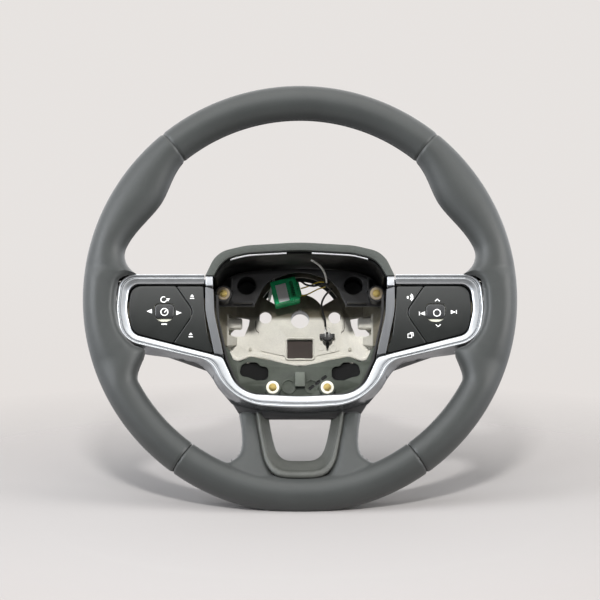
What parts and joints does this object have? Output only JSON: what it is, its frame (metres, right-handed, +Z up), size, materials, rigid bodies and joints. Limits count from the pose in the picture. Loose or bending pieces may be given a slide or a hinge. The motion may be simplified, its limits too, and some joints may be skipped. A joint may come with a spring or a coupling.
{
  "type": "car steering wheel",
  "caption": "Leather-wrapped three-spoke car steering wheel without its airbag, with a cast armature, a satin bezel and two working switch packs.",
  "frame": {"origin": "on the steering axis, in the rear face of the hub where the wheel seats on its column", "axes": "+Y along the steering axis away from the driver, +X to the driver's right, +Z up towards the top of the rim"},
  "size_m": [0.3698, 0.143, 0.3692],
  "materials": {
    "cast_magnesium": "matt as-cast metal",
    "bush_steel": "turned steel",
    "foam": "dense moulded foam",
    "rim_leather": "smooth grain with a soft sheen",
    "satin_trim": "satin metal look",
    "grey_trim": "grey satin plastic",
    "grained_plastic": "fine grained soft plastic",
    "black_gloss": "gloss black",
    "pale_foam": "pale foam tape",
    "black_plastic": "matt black",
    "green_grey_plastic": "green-grey nylon",
    "stud_brass": "turned brass",
    "pale_plastic": "pale nylon",
    "green_plastic": "green nylon",
    "white_label": "bare white label",
    "contact_metal": "plated spring metal",
    "white_wire": "white insulation",
    "yellow_wire": "yellow insulation",
    "black_wire": "black insulation",
    "board": "lacquered circuit board",
    "silicone": "silicone dome mat",
    "key_plastic": "soft-touch lacquer",
    "screw_steel": "zinc plated"
  },
  "bodies": {
    "wheel": {"armature": "cast_magnesium", "hub_bush": "bush_steel", "rim_foam": "foam", "leather_top": "rim_leather", "leather_left": "rim_leather", "leather_right": "rim_leather", "leather_bottom": "rim_leather", "bezel": "satin_trim", "left_trim_cap": "satin_trim", "right_trim_cap": "satin_trim", "left_side_trim": "grey_trim", "right_side_trim": "grey_trim", "upper_shroud": "grained_plastic", "shroud_liner": "black_gloss", "left_foam_strip": "pale_foam", "right_foam_strip": "pale_foam", "bag_carrier": "black_plastic", "lower_carrier": "green_grey_plastic", "rear_cover": "black_plastic", "lower_spoke_trim": "grained_plastic", "bag_studs": "stud_brass", "stud_bushes": "pale_plastic", "connector": "green_plastic", "connector_label": "white_label", "wire_clip": "black_plastic", "horn_contact": "contact_metal", "white_wire": "white_wire", "yellow_wire_upper": "yellow_wire", "yellow_wire_lower": "yellow_wire", "black_wire_upper": "black_wire", "black_wire_lower": "black_wire", "left_switch_housing": "black_plastic", "right_switch_housing": "black_plastic", "left_switch_board": "board", "right_switch_board": "board", "left_dome_mat": "silicone", "right_dome_mat": "silicone", "pack_screws": "screw_steel", "cover_screws": "screw_steel"},
    "left_gimbal": {"left_gimbal": "black_plastic"},
    "left_pad": {"left_pad": "key_plastic"},
    "left_button": {"left_button": "key_plastic"},
    "left_keys": {"left_keys": "key_plastic"},
    "right_gimbal": {"right_gimbal": "black_plastic"},
    "right_pad": {"right_pad": "key_plastic"},
    "right_button": {"right_button": "key_plastic"},
    "right_keys": {"right_keys": "key_plastic"}
  },
  "joints": [
    {"name": "left_gimbal_tilt", "type": "hinge", "parent": "wheel", "child": "left_gimbal", "pos_m": [-0.1153, -0.1205, -0.0127], "axis": [0, 0, 1], "range_deg": [-1.5, 1.5], "stiffness_Nm_per_rad": 1.5},
    {"name": "left_pad_tilt", "type": "hinge", "parent": "left_gimbal", "child": "left_pad", "pos_m": [-0.1153, -0.1205, -0.0127], "axis": [1, 0, 0], "range_deg": [-1.5, 1.5], "stiffness_Nm_per_rad": 1.5},
    {"name": "left_button_press", "type": "slide", "parent": "left_pad", "child": "left_button", "axis": [0, 1, 0], "range_m": [0, 0.001], "stiffness_N_per_m": 600},
    {"name": "left_keys_rock", "type": "hinge", "parent": "wheel", "child": "left_keys", "pos_m": [-0.0865, -0.1205, -0.014], "axis": [1, 0, 0], "range_deg": [-1.2, 1.2], "stiffness_Nm_per_rad": 1},
    {"name": "right_gimbal_tilt", "type": "hinge", "parent": "wheel", "child": "right_gimbal", "pos_m": [0.1153, -0.1205, -0.0127], "axis": [0, 0, 1], "range_deg": [-1.5, 1.5], "stiffness_Nm_per_rad": 1.5},
    {"name": "right_pad_tilt", "type": "hinge", "parent": "right_gimbal", "child": "right_pad", "pos_m": [0.1153, -0.1205, -0.0127], "axis": [1, 0, 0], "range_deg": [-1.5, 1.5], "stiffness_Nm_per_rad": 1.5},
    {"name": "right_button_press", "type": "slide", "parent": "right_pad", "child": "right_button", "axis": [0, 1, 0], "range_m": [0, 0.001], "stiffness_N_per_m": 600},
    {"name": "right_keys_rock", "type": "hinge", "parent": "wheel", "child": "right_keys", "pos_m": [0.0865, -0.1205, -0.014], "axis": [1, 0, 0], "range_deg": [-1.2, 1.2], "stiffness_Nm_per_rad": 1}
  ]
}
